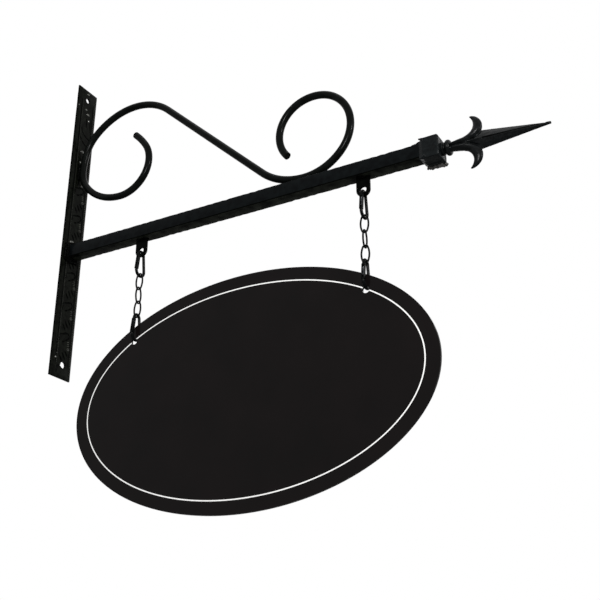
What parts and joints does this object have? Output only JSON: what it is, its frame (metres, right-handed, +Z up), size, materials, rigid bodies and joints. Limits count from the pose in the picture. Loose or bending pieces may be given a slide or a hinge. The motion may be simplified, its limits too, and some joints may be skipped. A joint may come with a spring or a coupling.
{
  "type": "blade sign",
  "caption": "Projecting wall sign: a square-tube arm with a round-bar scroll and a cast spear end, and an oval board hung on short chains with snap hooks.",
  "frame": {"origin": "on the wall face, at the centre of the wall plate's back", "axes": "+X out from the wall along the arm, +Z up, -Y towards the sign's front"},
  "size_m": [0.6975, 0.04, 0.6793],
  "materials": {
    "painted_steel": "satin",
    "painted_casting": "satin",
    "black_chain": "satin",
    "spring_steel": "satin",
    "sign_board": "gloss"
  },
  "bodies": {
    "bracket": {"wall_plate": "painted_steel", "arm_tube": "painted_steel", "arm_weld": "painted_steel", "scroll_bar": "painted_steel", "scroll_weld_wall": "painted_steel", "scroll_weld_arm": "painted_steel", "finial_collar": "painted_casting", "finial_spear": "painted_casting", "inner_tab": "painted_steel", "outer_tab": "painted_steel", "inner_tab_weld": "painted_steel", "outer_tab_weld": "painted_steel"},
    "inner_upper_hook": {"inner_upper_hook": "black_chain", "inner_upper_rivet": "black_chain"},
    "inner_upper_gate": {"inner_upper_gate": "black_chain", "inner_upper_spring": "spring_steel"},
    "inner_lower_hook": {"inner_lower_hook": "black_chain", "inner_lower_rivet": "black_chain"},
    "inner_lower_gate": {"inner_lower_gate": "black_chain", "inner_lower_spring": "spring_steel"},
    "inner_link_1": {"inner_link_1": "black_chain"},
    "inner_link_2": {"inner_link_2": "black_chain"},
    "inner_link_3": {"inner_link_3": "black_chain"},
    "outer_upper_hook": {"outer_upper_hook": "black_chain", "outer_upper_rivet": "black_chain"},
    "outer_upper_gate": {"outer_upper_gate": "black_chain", "outer_upper_spring": "spring_steel"},
    "outer_lower_hook": {"outer_lower_hook": "black_chain", "outer_lower_rivet": "black_chain"},
    "outer_lower_gate": {"outer_lower_gate": "black_chain", "outer_lower_spring": "spring_steel"},
    "outer_link_1": {"outer_link_1": "black_chain"},
    "outer_link_2": {"outer_link_2": "black_chain"},
    "outer_link_3": {"outer_link_3": "black_chain"},
    "sign_panel": {"sign_panel": "sign_board"}
  },
  "joints": [
    {"name": "inner_upper_hook_swing", "type": "hinge", "parent": "bracket", "child": "inner_upper_hook", "pos_m": [0.1285, 0, -0.07909], "axis": [1, 0, 0], "range_deg": [-75, 75]},
    {"name": "inner_link_1_swing", "type": "hinge", "parent": "inner_upper_hook", "child": "inner_link_1", "pos_m": [0.1285, 0, -0.10989], "axis": [0, 1, 0], "range_deg": [-34, 34]},
    {"name": "inner_link_2_swing", "type": "hinge", "parent": "inner_link_1", "child": "inner_link_2", "pos_m": [0.1285, 0, -0.12659], "axis": [0, 1, 0], "range_deg": [-1.5, 1.5]},
    {"name": "inner_lower_hook_swing", "type": "hinge", "parent": "inner_link_1", "child": "inner_lower_hook", "pos_m": [0.1285, 0, -0.16619], "axis": [0, 1, 0], "range_deg": [-34, 34]},
    {"name": "inner_link_3_swing", "type": "hinge", "parent": "inner_lower_hook", "child": "inner_link_3", "pos_m": [0.1285, 0, -0.16619], "axis": [0, 1, 0], "range_deg": [-34, 34]},
    {"name": "inner_upper_gate_turn", "type": "hinge", "parent": "inner_upper_hook", "child": "inner_upper_gate", "pos_m": [0.1285, -0.00558, -0.08182], "axis": [-1, 0, 0], "range_deg": [-10, 0], "stiffness_Nm_per_rad": 0.02, "springref_deg": 20.05},
    {"name": "inner_lower_gate_turn", "type": "hinge", "parent": "inner_lower_hook", "child": "inner_lower_gate", "pos_m": [0.1285, -0.00558, -0.17412], "axis": [-1, 0, 0], "range_deg": [-10, 0], "stiffness_Nm_per_rad": 0.02, "springref_deg": 20.05},
    {"name": "outer_upper_hook_swing", "type": "hinge", "parent": "bracket", "child": "outer_upper_hook", "pos_m": [0.4645, 0, -0.07909], "axis": [1, 0, 0], "range_deg": [-75, 75]},
    {"name": "outer_link_1_swing", "type": "hinge", "parent": "outer_upper_hook", "child": "outer_link_1", "pos_m": [0.4645, 0, -0.10989], "axis": [0, 1, 0], "range_deg": [-34, 34]},
    {"name": "outer_link_2_swing", "type": "hinge", "parent": "outer_link_1", "child": "outer_link_2", "pos_m": [0.4645, 0, -0.12659], "axis": [0, 1, 0], "range_deg": [-1.5, 1.5]},
    {"name": "outer_lower_hook_swing", "type": "hinge", "parent": "outer_link_1", "child": "outer_lower_hook", "pos_m": [0.4645, 0, -0.16619], "axis": [0, 1, 0], "range_deg": [-34, 34]},
    {"name": "outer_link_3_swing", "type": "hinge", "parent": "outer_lower_hook", "child": "outer_link_3", "pos_m": [0.4645, 0, -0.16619], "axis": [0, 1, 0], "range_deg": [-34, 34]},
    {"name": "outer_upper_gate_turn", "type": "hinge", "parent": "outer_upper_hook", "child": "outer_upper_gate", "pos_m": [0.4645, -0.00558, -0.08182], "axis": [-1, 0, 0], "range_deg": [-10, 0], "stiffness_Nm_per_rad": 0.02, "springref_deg": 20.05},
    {"name": "outer_lower_gate_turn", "type": "hinge", "parent": "outer_lower_hook", "child": "outer_lower_gate", "pos_m": [0.4645, -0.00558, -0.17412], "axis": [-1, 0, 0], "range_deg": [-10, 0], "stiffness_Nm_per_rad": 0.02, "springref_deg": 20.05},
    {"name": "sign_swing", "type": "hinge", "parent": "inner_lower_hook", "child": "sign_panel", "pos_m": [0.1285, 0, -0.19419], "axis": [1, 0, 0], "range_deg": [-15, 15]}
  ],
  "couplings": [
    {"joint": "outer_upper_hook_swing", "follows": "inner_upper_hook_swing", "ratio": 1},
    {"joint": "outer_link_1_swing", "follows": "inner_link_1_swing", "ratio": 1},
    {"joint": "inner_lower_hook_swing", "follows": "inner_link_1_swing", "ratio": -1},
    {"joint": "outer_lower_hook_swing", "follows": "inner_link_1_swing", "ratio": -1},
    {"joint": "inner_link_3_swing", "follows": "inner_link_1_swing", "ratio": 1},
    {"joint": "outer_link_3_swing", "follows": "inner_link_1_swing", "ratio": 1}
  ]
}
